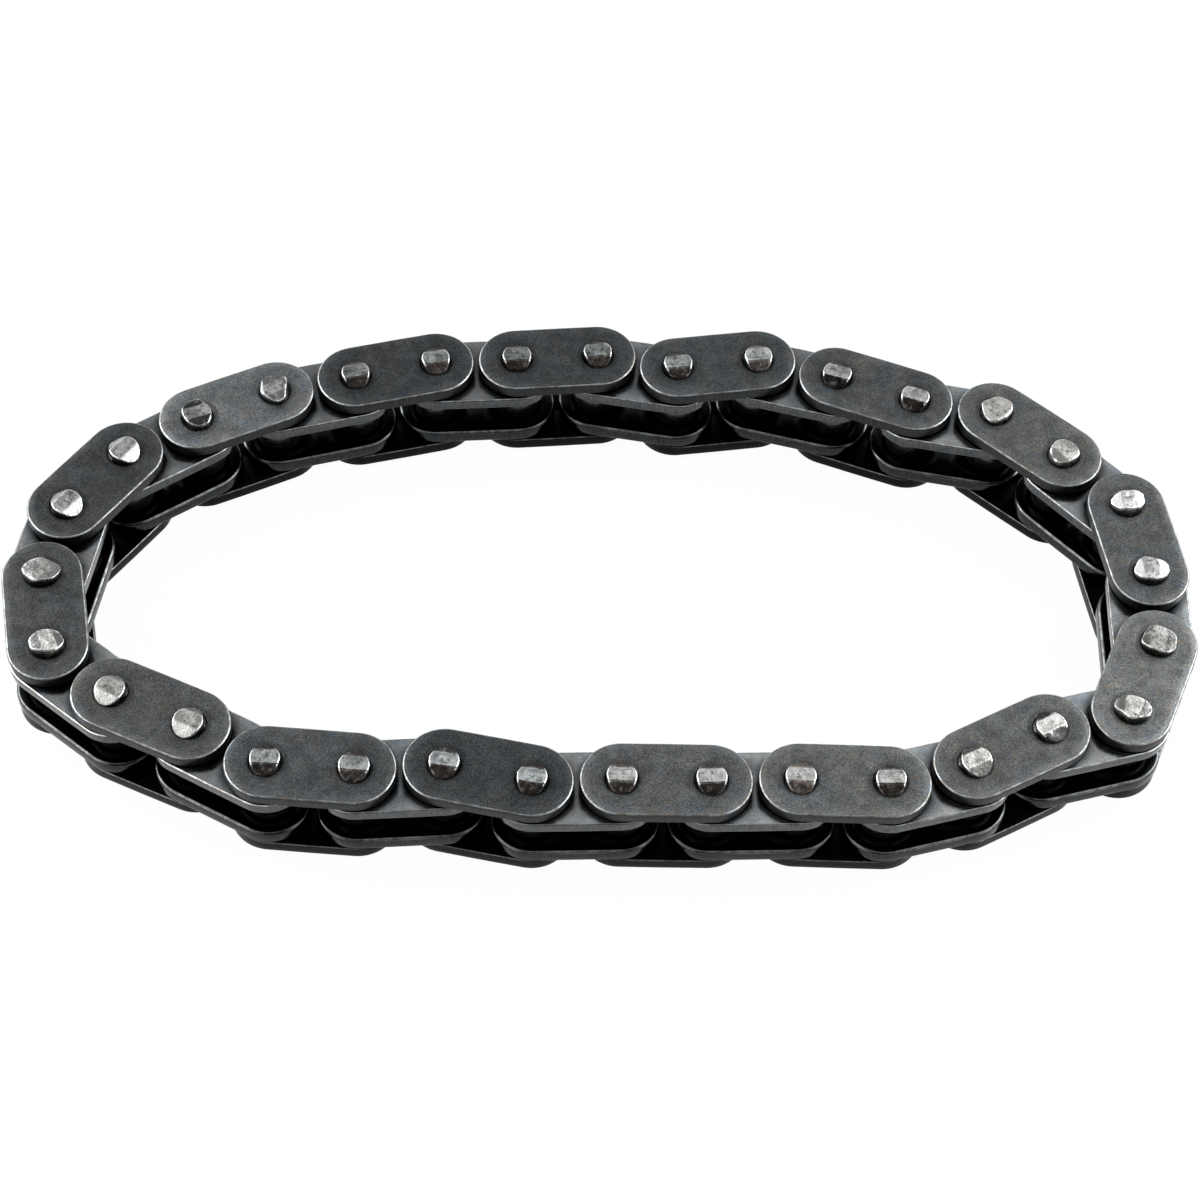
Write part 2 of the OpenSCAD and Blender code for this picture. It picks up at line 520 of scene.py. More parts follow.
def face_shade(steel, look, places, grain):
    """How bright the face of a plate is, beside its colour."""
    sheet = steel.sheet
    patches = steel.noise(3.2 * MM, 3.0, 0.6)
    mottle = sheet.times(sheet.vary(grain["Grain"], 1.0 - look.speckle, 1.0 + look.speckle),
                         sheet.vary(grain["Cloud"], 0.88, 1.12),
                         sheet.ramp(patches, 0.35, 0.65, 0.90, 1.10))
    # held oil, with painted shade round the pin heads and under the edges of the outer plates
    held_oil_and_shade = sheet.ramp(places.from_joint, look.oil_shade_far, look.oil_shade_near)
    # painted sheen: the face paler by its rim, most along the flanks
    painted_sheen = sheet.times(sheet.ramp(places.from_rim, 1.25 * MM, 0.30 * MM),
                       sheet.ramp(places.past, places.END_FROM, 2.5 * MM, look.pale, 0.34))
    # painted shade: darker away from the rim, by look.deep
    shade = sheet.times(mottle, sheet.plus(1.0, sheet.attribute("tone")),
                        sheet.rest(sheet.times(held_oil_and_shade, look.oil_shade_dark)), sheet.plus(1.0, painted_sheen),
                        sheet.ramp(places.from_rim, 0.7 * MM, 2.1 * MM, 1.0, 1.0 - look.deep))
    if look.ring_radius is None:
        return shade
    # the rubbed ring is broken where the tool did not press
    off_ring = sheet.math("ABSOLUTE", sheet.minus(places.from_joint, look.ring_radius))
    ring = sheet.times(sheet.ramp(off_ring, 0.13 * MM, 0.02 * MM),
                       sheet.ramp(patches, 0.47, 0.60, 0.0, 0.30))
    return sheet.times(shade, sheet.plus(1.0, ring))


def face_tint(steel, look):
    """Colour of the face of a plate: browned in specks, and drifting between blue and brown."""
    sheet = steel.sheet
    rust = sheet.ramp(steel.noise(0.26 * MM, 5.0, 0.75), 0.44, 0.64)
    tint = sheet.blend(rust, colour(look.body), colour(look.brown))
    drift = sheet.ramp(steel.noise(2.3 * MM, 3.0, 0.6), 0.36, 0.64, -0.55, 0.55)
    turned = sheet.blend(sheet.plus(sheet.attribute("warmth"), drift),
                         (0.985, 1.0, 1.02, 1), (1.08, 1.0, 0.93, 1))
    return sheet.blend(1.0, tint, turned, "MULTIPLY")


def wall_shade(sheet, look, grain, wall, rise):
    """How bright the cut wall is: dull below its break line, and brightest by the outward edge."""
    streaks = sheet.vary(wall["Streaks"], 0.40 * look.wall_level, 0.80 * look.wall_level)
    return sheet.times(streaks, sheet.vary(grain["Grain"], 0.85, 1.15),
                       sheet.vary(wall["Broken"], 1.0, 0.76), sheet.ramp(rise, 0.6, 0.95, 1.0, 1.5))


def rim_tint(steel, bright):
    """Colour of the rubbed rim: brown where it was not knocked lately."""
    return steel.sheet.blend(steel.sheet.ramp(steel.noise(1.1 * MM, 3.0, 0.7), 0.40, 0.60),
                             colour(tinted(bright, (0.54, 0.49, 0.43))),
                             colour(tinted(bright, (0.97, 1.0, 1.03))))


def plate_steel(look, bright):
    """Steel of a blanked plate: mottled faces, a rubbed rim, a cut wall, and painted shade low down and
    where teeth run.
    """
    steel = Steel(look.name)
    sheet = steel.sheet
    grain = steel.grain(0.15 * MM, 1.8 * MM)
    wall = steel.cut_wall()
    on_wall = sheet.attribute("wall")
    off_wall = sheet.rest(on_wall)
    rise = sheet.attribute("rise")
    outward = sheet.ramp(rise, 0.35, 0.65)
    places = PlatePlaces(sheet, look.end_radius)
    rubbed = rubbed_rim(steel, look, places, outward)
    shade = sheet.plus(sheet.times(face_shade(steel, look, places, grain), off_wall),
                       sheet.times(wall_shade(sheet, look, grain, wall, rise), on_wall))
    # painted shade: darker towards the floor, and nearly black on the inward faces, between the plates and
    # where the teeth run
    lower_shade = sheet.ramp(steel.height(), 1.2 * MM, 7.5 * MM, 0.13, 1.0)
    inward = sheet.times(sheet.ramp(rise, 0.03, 0.0), off_wall)
    painted_shade = sheet.times(lower_shade, sheet.rest(sheet.times(inward, 0.80)))
    # painted shade on the rim, darker towards the floor
    rim_shade = sheet.plus(0.50, sheet.times(lower_shade, 0.50))
    # a link's polish brightens its outward rims: rubbed wear, and a painted sheen
    polish = sheet.times(sheet.attribute("polish"), outward)
    shine = sheet.times(look.rim_level, sheet.plus(1.0, polish))
    base = sheet.blend(rubbed, sheet.scaled(face_tint(steel, look), sheet.times(shade, painted_shade)),
                       sheet.scaled(rim_tint(steel, bright), sheet.times(rim_shade, shine)))
    dull = sheet.times(look.rough, sheet.vary(grain["Grain"], 1.0, 1.35))
    roughness = sheet.plus(dull, sheet.times(rubbed, sheet.minus(look.rim_rough, dull)))
    relief = sheet.plus(sheet.times(grain["Grain"], sheet.times(off_wall, 0.6)),
                        sheet.times(wall["Streaks"], sheet.times(on_wall, 0.4)))
    return steel.finish(base, roughness, relief, look.relief)


# Steel of the pins and bushes

def staked_steel(bright):
    """Steel of the pins: a blotched flat, smooth bevels that are dark brown or bright, worn edges, and
    painted shade under the lips.
    """
    steel = Steel("staked pin steel")
    sheet = steel.sheet
    grain = steel.grain(0.26 * MM, 0.9 * MM)
    tone, polish, on_bevel = [sheet.attribute(name) for name in ("tone", "polish", "bevel")]
    coarse = steel.noise(0.62 * MM, 4.0, 0.62)
    broad = steel.noise(1.3 * MM)
    spots = sheet.math("MAXIMUM", sheet.times(sheet.ramp(coarse, 0.50, 0.64), 0.86),
                       sheet.times(grain["Pits"], 0.85))
    shade = sheet.times(sheet.vary(grain["Grain"], 0.80, 1.18), sheet.ramp(broad, 0.36, 0.64, 0.74, 1.42))
    cast = sheet.blend(sheet.attribute("warmth"), (0.95, 1.0, 1.02, 1), (1.05, 1.0, 0.95, 1))
    tint = sheet.blend(1.0, colour(bright), cast, "MULTIPLY")
    flat = sheet.scaled(tint, sheet.times(shade, tone, sheet.rest(sheet.times(spots, 0.78))))
    # the punch scratched the bevels along its stroke
    scratches = sheet.noise(sheet.stretched(steel.where, (1, 0.15, 0.3)), 0.14 * MM, 3.0, 0.6)
    bevel_tone = sheet.attribute("bevel_tone")
    dark_bevel = sheet.scaled(DARK_BEVEL, sheet.times(sheet.ramp(scratches, 0.3, 0.7, 0.76, 1.26), bevel_tone))
    shine = sheet.times(bevel_tone, sheet.ramp(shade, 0.6, 1.5, 0.85, 1.12),
                        sheet.rest(sheet.times(spots, 0.25)))
    face = sheet.blend(on_bevel, flat, sheet.blend(polish, dark_bevel, sheet.scaled(tint, shine)))
    worn = sheet.scaled(WORN_EDGE, sheet.plus(0.50, sheet.times(tone, 0.5)))
    base = sheet.blend(steel.wear(0.80), face, worn)
    # painted shade: dark under the lips, down the neck and on the foot
    base = sheet.blend(sheet.times(sheet.attribute("skirt"), 0.94), base, colour(PAINTED_LIP_SHADE))
    # painted shade: the lower ends darker towards the floor
    base = sheet.scaled(base, sheet.ramp(steel.height(), 1.0 * MM, 5.0 * MM, 0.16, 1.0))
    roughness = sheet.plus(0.24, sheet.times(spots, 0.22))
    # hammered relief, which the dark brown bevels have less of
    relief = sheet.plus(sheet.plus(coarse, sheet.times(broad, 1.2)), sheet.times(grain["Grain"], 0.18))
    pressed = sheet.times(on_bevel, sheet.rest(polish))
    relief = sheet.times(relief, sheet.rest(sheet.times(pressed, 0.6)))
    return steel.finish(base, roughness, relief, 0.060 * MM)


def bush_steel(body):
    """Dark oiled steel of the bushes, with turning marks round them."""
    steel = Steel("oiled bush steel")
    sheet = steel.sheet
    turning = sheet.noise(sheet.stretched(steel.where, (0.1, 0.1, 1)), 0.12 * MM)
    marks = sheet.ramp(turning, 0.3, 0.7)
    face = sheet.scaled(body, sheet.vary(marks, 0.7, 1.3))
    roughness = sheet.plus(0.26, sheet.times(marks, 0.08))
    return steel.finish(face, roughness, marks, 0.004 * MM)


# Meshes of the pieces

class Shell:
    """A closed mesh made of rings of points, with the masks that the steels read."""

    MASKS = ("edge", "wall", "rise", "dent", "bevel", "skirt")

    def __init__(self):
        self.bm = bmesh.new()
        self.layers = {name: self.bm.verts.layers.float.new(name) for name in self.MASKS}

    def point(self, place, **masks):
        vert = self.bm.verts.new(place)
        for name, value in masks.items():
            vert[self.layers[name]] = value
        return vert

    def ring(self, outline, height, **masks):
        return [self.point((x, y, height), **masks) for x, y in outline]

    def strip(self, low, high):
        """Faces between two rows of as many points."""
        for i in range(len(low) - 1):
            self.bm.faces.new((low[i], low[i + 1], high[i + 1], high[i]))

    def stack(self, rings):
        """Walls from each ring to the next."""
        for low, high in zip(rings, rings[1:]):
            self.strip(low + low[:1], high + high[:1])

    def fill(self, *rings):
        """Flat faces between an outer ring and the holes in it."""
        edges = [e for ring in rings for e in self.loop_edges(ring)]
        bmesh.ops.triangle_fill(self.bm, use_beauty=True, use_dissolve=False, edges=edges)

    def loop_edges(self, ring):
        found = []
        for i, vert in enumerate(ring):
            following = ring[(i + 1) % len(ring)]
            edge = self.bm.edges.get((vert, following)) or self.bm.edges.new((vert, following))
            found.append(edge)
        return found

    def mesh(self, name):
        bmesh.ops.recalc_face_normals(self.bm, faces=self.bm.faces)
        for face in self.bm.faces:
            face.smooth = True
        made = bpy.data.meshes.new(name)
        self.bm.to_mesh(made)
        self.bm.free()
        # the steels read where a point lies on its own piece
        local = made.attributes.new("local", "FLOAT_VECTOR", "POINT")
        local.data.foreach_set("vector", [c for vert in made.vertices for c in vert.co])
        return made


ARC_STEPS = 32
FLANK_STEPS = 16
CIRCLE_STEPS = 56


def outline(half_pitch, radius, waist):
    """Outline of a link plate: two round ends and long flanks, drawn in a little where they meet."""
    quarter = pi / 2 * radius

    def drawn_in(far):
        """Half the width at a distance along the outline from the middle of the plate."""
        return radius - waist * sin(pi * far / (half_pitch + quarter)) ** 2

    points = []
    for side in (1, -1):
        for i in range(ARC_STEPS + 1):
            a = pi * i / ARC_STEPS - side * pi / 2
            r = drawn_in(half_pitch + quarter * (1 - abs(2 * i / ARC_STEPS - 1)))
            points.append((side * half_pitch + r * cos(a), r * sin(a)))
        for i in range(1, FLANK_STEPS):
            share = 1 - 2 * i / FLANK_STEPS
            points.append((side * half_pitch * share, side * drawn_in(half_pitch * abs(share))))
    return points


def circle(middle, radius):
    angles = [2 * pi * i / CIRCLE_STEPS for i in range(CIRCLE_STEPS)]
    return [(middle + radius * cos(a), radius * sin(a)) for a in angles]


def rounding(steps, worn_at, worn_over):
    """Angle round an edge, its rubbed mask and the share of the way, at each of its steps."""
    for i in range(steps + 1):
        yield pi / 2 * i / steps, max(0.0, 1 - abs(i - worn_at) / worn_over), i / steps


def plate_profile(thickness, sizes, roll, burr, broad):
    """Inset, height, edge mask and wall mask of each ring of a plate, up the outside."""
    back = sizes.break_depth
    drop, shoulder = broad * sizes.shoulder_drop, broad * sizes.shoulder_width
    # the inward face and its burr edge
    profile = [(2.2 * burr + back, 0, 0, 0)]
    for a, rubbed, share in rounding(6, 2.6, 2.6):
        profile.append((back + burr * (1 - sin(a)), burr * (1 - cos(a)), rubbed, share))
    # the cut wall, broken below and smooth above
    profile += [(back, max(1.2 * burr, 0.30 * thickness), 0, 1), (0.4 * back, 0.40 * thickness, 0, 1),
                (0, 0.48 * thickness, 0, 1), (0, thickness - drop - 1.10 * roll, 0, 1)]
    # the rolled edge, and the shoulder up to the outward face
    for a, rubbed, share in rounding(10, 6.0, 4.4):
        profile.append((roll * (1 - cos(a)), thickness - drop - roll * (1 - sin(a)), rubbed, 1 - share))
    for share in (0.2, 0.45, 0.7, 1.0):
        profile.append((roll + share * shoulder, thickness - drop * (1 - share) ** 2, 0, 0))
    return profile


def bore_profile(thickness, hole_radius, sizes, ringed):
    """Radius and height of each ring of a hole, from the inward face up to the staking ring."""
    bore = [(hole_radius, 0), (hole_radius, thickness - HOLE_BEVEL), (hole_radius + HOLE_BEVEL, thickness)]
    if ringed:
        ring, wide, deep = sizes.ring_radius, sizes.ring_width, sizes.ring_depth
        bore += [(ring - 2.25 * wide, thickness), (ring - 1.2 * wide, thickness),
                 (ring - 0.6 * wide, thickness - 0.6 * deep), (ring, thickness - deep),
                 (ring + 0.6 * wide, thickness - 0.6 * deep), (ring + 1.4 * wide, thickness)]
    return bore


def plate_mesh(name, link, thickness, hole_radius, sizes, roll, burr, broad=1.0, ringed=False):
    """The upper plate of a link, with its rolled edge upwards.

    Roll and burr are the rounds of its outward and inward edge, and broad widens its shoulder.
    """
    shell = Shell()
    rings = [shell.ring(outline(link.half_pitch, link.end_radius - inset, sizes.waist), height,
                        edge=edge, wall=wall, rise=height / thickness)
             for inset, height, edge, wall in plate_profile(thickness, sizes, roll, burr, broad)]
    shell.stack(rings)
    holes = []
    for side in (-1, 1):
        bored = [shell.ring(circle(side * link.half_pitch, radius), height, rise=height / thickness)
                 for radius, height in bore_profile(thickness, hole_radius, sizes, ringed)]
        shell.stack(bored)
        holes.append(bored)
    shell.fill(rings[-1], holes[0][-1], holes[1][-1])
    shell.fill(rings[0], holes[0][0], holes[1][0])
    made = shell.mesh(name)
    made.transform(Matrix.Translation((0, 0, link.half_height - thickness)))
    return made


def smooth_min(a, b, soft):
    """The smaller of two heights, with the corner between them rounded."""
    share = max(0.0, min(1.0, 0.5 + (b - a) / (2 * soft)))
    return b + (a - b) * share - soft * share * (1 - share)


class StakedEnd:
    """The shape of a staked pin end: a flat along the link, and a lip spread to each side.

    A rough end is rounder, as a worn punch leaves it. Away is 1 or -1, for the side of the pin, across the
    link, on which the punch has cut the outline of a clean end back.
    """

    ROWS = 20
    COLUMNS = 16
    # How the outline rounds off towards its lips: its bend and its fullness there, full and cut back
    FULL = (2.15, 0.46)
    CUT_BACK = (1.6, 0.68)
    # How far the lip stays inside its foot
    LIP_INSET = 0.02 * MM
    # How near the outermost row comes to the tip of the lip, where the outline has no length
    TIP = 0.998

    def __init__(self, head, sizes, rough, away):
        self.head = head
        self.rough = rough
        self.away = away
        self.flat = sizes.flat_half
        self.wide = sizes.shank_radius - sizes.crown
        self.reach = sizes.shank_radius + sizes.lip - self.LIP_INSET
        lip = sizes.rough_lip if rough else sizes.lip_thickness
        self.slope = (head - lip) / (self.reach - self.flat)
        self.worn = sizes.worn_edge * (2.2 if rough else 1.0)
        self.soft = (0.10 if rough else 0.08) * MM
        self.soft_corner = sizes.soft_corner * (0.3 if rough else 1.0)

    def outline_x(self, y):
        """Half the length of the end along the link, at a distance across it."""
        bend, fullness = self.CUT_BACK if y * self.away > 0 and not self.rough else self.FULL
        return self.wide * max(0.0, 1 - abs(y / self.reach) ** bend) ** fullness

    def top(self, x, y):
        """Height of the end above the plate, and its masks there."""
        past = abs(y) - self.flat
        softer = self.soft + self.soft_corner * (x / self.wide) ** 4
        height = smooth_min(self.head, self.head - self.slope * past, softer)
        inside = min(self.outline_x(y) - abs(x), 1.6 * (self.reach - abs(y)))
        if inside < self.worn:
            bite = 1 - max(inside, 0) / self.worn
            height -= min(self.worn, height) * (1 - sqrt(1 - bite * bite)) * 0.9
        # the bevels, the creases where they leave the flat, the rubbed rim, and painted shade down the
        # lower bevel towards the lips
        bevel = max(0.0, min(1.0, past / (0.08 * MM) + 0.5))
        crease = max(0.0, 1 - abs(past + 0.04 * MM) / (0.10 * MM))
        rim = max(0.0, 1 - abs(inside - 0.45 * self.worn) / (0.85 * self.worn))
        low = max(0.0, past / (self.reach - self.flat))
        edge = 0.18 * rim if self.rough else max(0.22 * crease, rim * max(0.0, 1 - 3.4 * low))
        skirt = 0.0 if self.rough else 0.55 * max(0.0, low - 0.45)
        return height, {"edge": edge, "bevel": bevel, "skirt": skirt}

    def rows(self):
        """Rows of places on the end, closest together by its rim."""
        steps = [sin(pi / 2 * i / self.COLUMNS) for i in range(-self.COLUMNS, self.COLUMNS + 1)]
        for i in range(-self.ROWS, self.ROWS + 1):
            y = self.reach * self.TIP * sin(pi / 2 * (i / self.ROWS))
            yield [(step * self.outline_x(y), y) for step in steps]


def pin_mesh(name, half_length, half_grip, sizes, rough, away):
    """A pin with both ends staked."""
    shell = Shell()
    end = StakedEnd(half_length - half_grip, sizes, rough, away)
    # the foot has the full size of the pin and its lips
    fuller = (sizes.shank_radius / end.wide, (sizes.shank_radius + sizes.lip) / end.reach)
    ends = []
    for side in (1, -1):
        grid = []
        for row in end.rows():
            line = []
            for x, y in row:
                height, masks = end.top(x, y)
                line.append(shell.point((x, y, side * (half_grip + height)), dent=1.0, **masks))
            grid.append(line)
        for low, high in zip(grid, grid[1:]):
            shell.strip(low, high)
        rim = (grid[0] + [line[-1] for line in grid[1:]] + grid[-1][-2::-1]
               + [line[0] for line in grid[-2:0:-1]])
        # the neck, the foot and the top of the shank carry painted shade under the lip
        neck, foot, shank = [], [], []
        for x, y, z in [vert.co for vert in rim]:
            up = side * z - half_grip
            neck.append(shell.point((x, y, side * (half_grip + NECK_RISE * up)), skirt=0.85, dent=1.0))
            foot.append(shell.point((x * fuller[0], y * fuller[1], side * half_grip), skirt=1.0))
            share = sizes.shank_radius / hypot(x, y)
            shank.append(shell.point((x * share, y * share, side * (half_grip - FOOT_STEP)), skirt=1.0))
        shell.stack([rim, neck, foot, shank])
        ends.append(shank)
    shell.stack(ends)
    return shell.mesh(name)


def bush_mesh(name, half_length, outer_radius, bore_radius):
    """A bush: an open tube with bevelled mouths."""
    shell = Shell()
    profile = [(outer_radius, -half_length), (outer_radius, 0), (outer_radius, half_length),
               (bore_radius + MOUTH_BEVEL, half_length), (bore_radius, half_length - MOUTH_BEVEL),
               (bore_radius, MOUTH_BEVEL - half_length), (bore_radius + MOUTH_BEVEL, -half_length)]
    rings = [shell.ring(circle(0, radius), height) for radius, height in profile]
    shell.stack(rings + rings[:1])
    return shell.mesh(name)


# Laying the pieces on the links

def laid_copies(sheet, take):
    """Geometry nodes that lay copies of a piece along a link, and one on its back where asked."""
    half = take["Half spacing"]
    line = sheet.node("GeometryNodeMeshLine", {
        "Count": take["Copies"], "Start Location": sheet.combine(X=sheet.times(half, -1.0)),
        "Offset": sheet.combine(X=sheet.times(half, 2.0)),
    }, mode="OFFSET").outputs[0]
    line = sheet.store(line, "second", sheet.node("GeometryNodeInputIndex").outputs[0])
    twist = sheet.node("FunctionNodeRandomValue", {
        2: sheet.times(take["Twist"], -1.0), 3: take["Twist"], "Seed": take["Seed"],
    }, data_type="FLOAT").outputs[1]
    upright = sheet.node("GeometryNodeInstanceOnPoints", {
        "Points": line, "Instance": take["Piece"], "Rotation": sheet.combine(Z=twist)}).outputs[0]
    over = sheet.node("GeometryNodeInstanceOnPoints", {
        "Points": line, "Instance": take["Piece"], "Rotation": (pi, 0, 0)}).outputs[0]
    both = sheet.node("GeometryNodeJoinGeometry")
    for made in (upright, over):
        sheet.tree.links.new(made, both.inputs[0])
    chosen = sheet.node("GeometryNodeSwitch", {
        "Switch": take["Turned copy"], "False": upright, "True": both.outputs[0]}, input_type="GEOMETRY")
    laid = sheet.node("GeometryNodeTransform", {
        "Geometry": chosen.outputs[0], "Translation": take["Middle"],
        "Rotation": sheet.combine(Z=take["Heading"])})
    return sheet.node("GeometryNodeRealizeInstances", {"Geometry": laid.outputs[0]}).outputs[0]


def dented(sheet, take, geometry):
    """Geometry nodes that dent a piece, and leave its outline uneven as a rough punch does."""
    where = sheet.node("GeometryNodeInputPosition").outputs[0]
    mask = sheet.stored("dent")
    # dents go inwards only, so nothing grows past its size
    depth = sheet.times(sheet.times(sheet.noise(where, take["Dent size"], 2.0, 0.6), mask),
                        sheet.times(take["Dent depth"], -1.0))
    inward = sheet.scaled(sheet.node("GeometryNodeInputNormal").outputs[0], depth)
    geometry = sheet.node("GeometryNodeSetPosition", {"Geometry": geometry, "Offset": inward}).outputs[0]
    uneven = sheet.node("ShaderNodeTexNoise", {"Vector": where, "Scale": 1 / SWAY_SIZE, "Detail": 0.0})
    uneven = sheet.vector_math("SUBTRACT", uneven.outputs["Color"], (0.5, 0.5, 0.5))
    level = sheet.vector_math("MULTIPLY", uneven, (1, 1, 0))
    aside = sheet.scaled(level, sheet.times(take["Sway"], mask))
    return sheet.node("GeometryNodeSetPosition", {"Geometry": geometry, "Offset": aside}).outputs[0]


def toned(sheet, take, geometry):
    """Geometry nodes that write a piece's tones to its points, with the second copy's own."""
    values = {name: take[name] for name in ("Polish", "Warmth", "Half pitch")}
    second = sheet.stored("second")
    for name in ("Tone", "Bevel tone"):
        more = sheet.minus(take["Second " + name.lower()], take[name])
        values[name] = sheet.plus(take[name], sheet.times(second, more))
    for name, value in values.items():
        geometry = sheet.store(geometry, name.lower().replace(" ", "_"), value)
    return geometry


def lay_tree():
    """Geometry nodes that lay copies of a piece on a link, dent them and give each its tones."""
    tree, sheet, take, give = open_group("Lay on a link", "GeometryNodeTree", [
        ("Piece", "NodeSocketGeometry", None),
        ("Middle", "NodeSocketVector", None),
        ("Heading", "NodeSocketFloat", 0.0),
        ("Half spacing", "NodeSocketFloat", 0.0),
        ("Copies", "NodeSocketInt", 1),
        ("Turned copy", "NodeSocketBool", False),
        ("Twist", "NodeSocketFloat", 0.0),
        ("Dent depth", "NodeSocketFloat", 0.0),
        ("Dent size", "NodeSocketFloat", 0.5 * MM),
        ("Sway", "NodeSocketFloat", 0.0),
        ("Tone", "NodeSocketFloat", 0.0),
        ("Second tone", "NodeSocketFloat", 0.0),
        ("Polish", "NodeSocketFloat", 0.0),
        ("Warmth", "NodeSocketFloat", 0.4),
        ("Bevel tone", "NodeSocketFloat", 1.0),
        ("Second bevel tone", "NodeSocketFloat", 1.0),
        ("Half pitch", "NodeSocketFloat", 0.0),
        ("Seed", "NodeSocketInt", 0),
        ("Material", "NodeSocketMaterial", None),
    ], [("Pieces", "NodeSocketGeometry")])
    pieces = toned(sheet, take, dented(sheet, take, laid_copies(sheet, take)))
    finished = sheet.node("GeometryNodeSetMaterial", {"Geometry": pieces, "Material": take["Material"]})
    sheet.feed(give["Pieces"], finished.outputs[0])
    return tree


def lay_piece(name, template, link, material, node, inputs):
    """Lays a template on a link, and gives the plain mesh object, riding on the link's body."""
    tree = bpy.data.node_groups.get("Lay on a link") or lay_tree()
    draft = bpy.data.objects.new("draft", template)
    bpy.context.scene.collection.objects.link(draft)
    modifier = draft.modifiers.new("Lay", "NODES")
    modifier.node_group = tree
    values = {"Middle": link.middle, "Heading": link.heading, "Half pitch": link.half_pitch,
              "Material": material, **inputs}
    for item in tree.interface.items_tree:
        if item.item_type == "SOCKET" and item.in_out == "INPUT" and item.name in values:
            modifier[item.identifier] = values[item.name]
    graph = bpy.context.evaluated_depsgraph_get()
    made = bpy.data.meshes.new_from_object(draft.evaluated_get(graph))
    bpy.data.objects.remove(draft)
    made.name = name
    piece = bpy.data.objects.new(name, made)
    bpy.context.scene.collection.objects.link(piece)
    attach(piece, link.body)
    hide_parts(node)
    return piece


# Operators

class CHAIN_OT_outer_plates(bpy.types.Operator):
    """Makes the upper and lower plate of each outer link"""

    bl_idname = "chain.outer_plates"
    bl_label = "Outer plates"

    def execute(self, context):
        sizes, colours = context.scene.chain_plates, context.scene.chain_steels
        hole = context.scene.chain_pins.shank_radius + PRESS_GAP
        first = outer_link(1)
        template = plate_mesh("outer plate", first, sizes.outer_thickness, hole, sizes,
                              roll=sizes.rolled_edge, burr=sizes.burr_edge, ringed=True)
        look = PlateLook(
            "blacked plate steel", body=colours.blacked, brown=(0.108, 0.100, 0.088), speckle=0.38,
            reach=0.46, flank=0.76, rim_level=0.72, rim_rough=0.44, pale=0.26, deep=0.0,
            rough=0.34, wall_level=0.42, relief=0.014 * MM,
            oil_shade_near=1.80 * MM, oil_shade_far=3.00 * MM, oil_shade_dark=0.36,
            end_radius=first.end_radius, ring_radius=2.56 * MM)
        steel = plate_steel(look, colours.bright)
        for number in range(1, LINKS + 1):
            link = outer_link(number)
            inputs = {"Turned copy": True, "Tone": PLATE_TONES[number - 1],
                      "Warmth": PLATE_WARMTH[number - 1], "Seed": number}
            lay_piece(f"outer_plate_pair_{number:02d}", template, link, steel,
                      link.node, inputs)
        return {"FINISHED"}


class CHAIN_OT_pins(bpy.types.Operator):
    """Makes the two staked pins of each outer link"""

    bl_idname = "chain.pins"
    bl_label = "Pins"

    # How far a pin may be turned in its plates
    TWIST = radians(3)

    def execute(self, context):
        sizes = context.scene.chain_pins
        first = outer_link(1)
        half_length = (cad_box[1][2] - cad_box[0][2]) / 2
        templates = {(rough, away): pin_mesh("pin", half_length, first.half_height, sizes, rough, away)
                     for rough in (False, True) for away in (-1, 1)}
        steel = staked_steel(context.scene.chain_steels.bright)
        for number in range(1, LINKS + 1):
            link = outer_link(number)
            rough = number in ROUGH_PINS
            # the side of the link that faces away from the camera
            away = 1 if cos(link.heading) > 0 else -1
            tone, second_tone = PIN_TONES[number - 1]
            bevel_tone, second_bevel_tone = BEVEL_TONES[number - 1]
            inputs = {
                "Half spacing": link.half_pitch, "Copies": 2, "Twist": self.TWIST,
                "Dent depth": sizes.dents * (2.4 if rough else 0.8),
                "Dent size": sizes.dent_size * (1.5 if rough else 0.9),
                "Sway": sizes.sway * (1.0 if rough else 0.2),
                "Tone": tone, "Second tone": second_tone,
                "Bevel tone": bevel_tone, "Second bevel tone": second_bevel_tone,
                "Polish": float(rough or number in CLEAN_PINS),
                "Warmth": PLATE_WARMTH[number - 1], "Seed": number}
            lay_piece(f"staked_pins_{number:02d}", templates[rough, away], link, steel,
                      f"pins_{number:02d}", inputs)
        return {"FINISHED"}


class CHAIN_OT_inner_links(bpy.types.Operator):
    """Makes the plates and bushes of each inner link"""

    bl_idname = "chain.inner_links"
    bl_label = "Inner links"

    def execute(self, context):
        sizes, pins = context.scene.chain_plates, context.scene.chain_pins
        colours = context.scene.chain_steels
        first = inner_link(1)
        plate = plate_mesh("inner plate", first, sizes.inner_thickness, pins.bush_radius + PRESS_GAP, sizes,
                           roll=sizes.tumbled_edge, burr=sizes.worn_inside, broad=1.6)
        bush = bush_mesh("bush", first.half_height, pins.bush_radius, pins.shank_radius + pins.bush_play)
        # oil and painted shade reach out from under the outer plates
        covered = outer_link(1).end_radius
        look = PlateLook(
            "tumbled plate steel", body=colours.tumbled, brown=(0.190, 0.190, 0.185), speckle=0.18,
            reach=0.46, flank=0.88, rim_level=0.58, rim_rough=0.42, pale=0.24, deep=0.20,
            rough=0.14, wall_level=0.52, relief=0.004 * MM,
            oil_shade_near=covered - 0.05 * MM, oil_shade_far=covered + 1.1 * MM, oil_shade_dark=0.66,
            end_radius=first.end_radius)
        plate_finish = plate_steel(look, colours.bright)
        bush_finish = bush_steel(colours.bush)
        for number in range(1, LINKS + 1):
            link = inner_link(number)
            inputs = {"Turned copy": True, "Tone": INNER_TONES[number - 1],
                      "Polish": INNER_RIMS[number - 1], "Seed": number}
            lay_piece(f"inner_plate_pair_{number:02d}", plate, link, plate_finish,
                      link.node, inputs)
            inputs = {"Half spacing": link.half_pitch, "Copies": 2, "Seed": number}
            lay_piece(f"bush_pair_{number:02d}", bush, link, bush_finish,
                      link.node, inputs)
        return {"FINISHED"}


